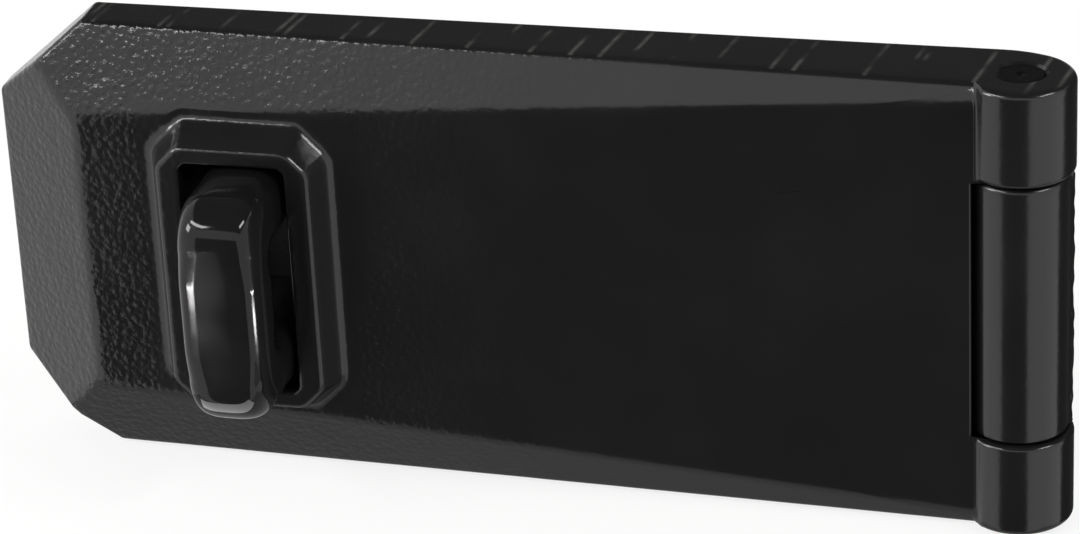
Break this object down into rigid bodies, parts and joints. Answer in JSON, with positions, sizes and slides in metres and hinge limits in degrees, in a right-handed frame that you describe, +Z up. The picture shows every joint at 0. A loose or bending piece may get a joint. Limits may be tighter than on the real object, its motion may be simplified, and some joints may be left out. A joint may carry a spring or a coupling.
{
  "type": "armoured hasp",
  "caption": "Cast armoured hasp with a hipped cover, a raised boss round its slot, a forged staple and fixings that the closed cover hides.",
  "frame": {"origin": "on the mounting plane, at the middle of the back of the hinge plate", "axes": "+Y into the wall or door, so that the front faces -Y; +X along the hasp towards its hinge; +Z up"},
  "size_m": [0.18, 0.0381, 0.0788],
  "materials": {
    "cover": "satin black enamel over a cast surface",
    "hinge_plate": "satin black enamel",
    "hinge_pin": "blackened, its ends worn bright",
    "staple_plate": "satin black enamel",
    "staple": "polished black nickel"
  },
  "bodies": {
    "fixed_plates": {"hinge_plate": "hinge_plate", "staple_plate": "staple_plate", "staple": "staple"},
    "cover": {"cover": "cover", "hinge_pin": "hinge_pin"}
  },
  "joints": [
    {"name": "cover_hinge", "type": "hinge", "parent": "fixed_plates", "child": "cover", "pos_m": [0.0406, -0.0093, 0], "axis": [0, 0, 1], "range_deg": [0, 178]}
  ]
}
